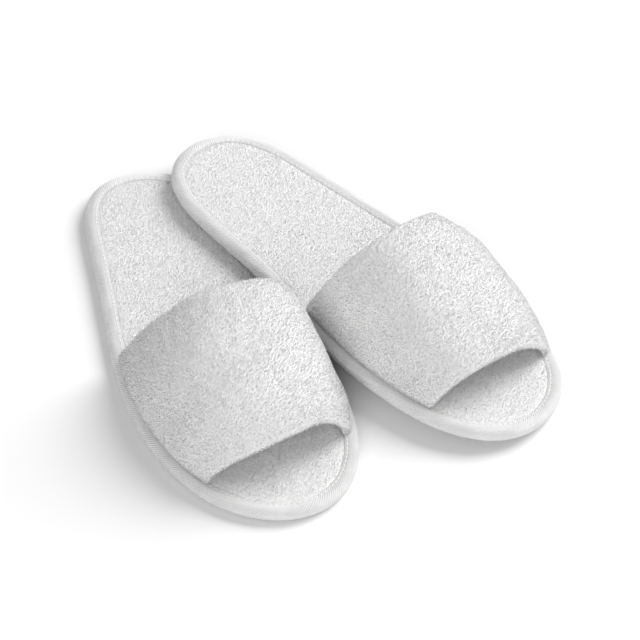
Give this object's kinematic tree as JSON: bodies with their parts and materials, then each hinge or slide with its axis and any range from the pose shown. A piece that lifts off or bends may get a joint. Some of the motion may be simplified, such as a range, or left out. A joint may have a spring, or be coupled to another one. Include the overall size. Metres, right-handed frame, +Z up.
{
  "type": "spa slippers",
  "caption": "Pair of open-toe terry spa slippers with padded uppers, flat foam soles and taped edges, one heel lying on the other.",
  "frame": {"origin": "centre of the pair's bounding box, on the floor", "axes": "+Z up; +Y from the toes to the heel of the right-foot slipper; +X towards the left-foot slipper"},
  "size_m": [0.2215, 0.2968, 0.0667],
  "materials": {
    "outsole_foam": "matte closed-cell foam",
    "soft_foam": "soft open foam",
    "terry": "looped cotton pile",
    "twill_tape": "folded cotton twill",
    "lining_cloth": "plain woven",
    "thread": "spun polyester"
  },
  "bodies": {
    "right_slipper": {"right_outsole": "outsole_foam", "right_midsole_foam": "soft_foam", "right_insole_terry": "terry", "right_edge_binding": "twill_tape", "right_binding_thread": "thread", "right_bobbin_thread": "thread", "right_upper_terry": "terry", "right_upper_foam": "soft_foam", "right_upper_lining": "lining_cloth", "right_rear_hem_thread": "thread", "right_front_hem_thread": "thread"},
    "left_slipper": {"left_outsole": "outsole_foam", "left_midsole_foam": "soft_foam", "left_insole_terry": "terry", "left_edge_binding": "twill_tape", "left_binding_thread": "thread", "left_bobbin_thread": "thread", "left_upper_terry": "terry", "left_upper_foam": "soft_foam", "left_upper_lining": "lining_cloth", "left_rear_hem_thread": "thread", "left_front_hem_thread": "thread"}
  },
  "joints": [
    {"name": "left_slipper_lift", "type": "slide", "parent": "right_slipper", "child": "left_slipper", "axis": [0, 0, 1], "range_m": [0, 0.12]}
  ]
}
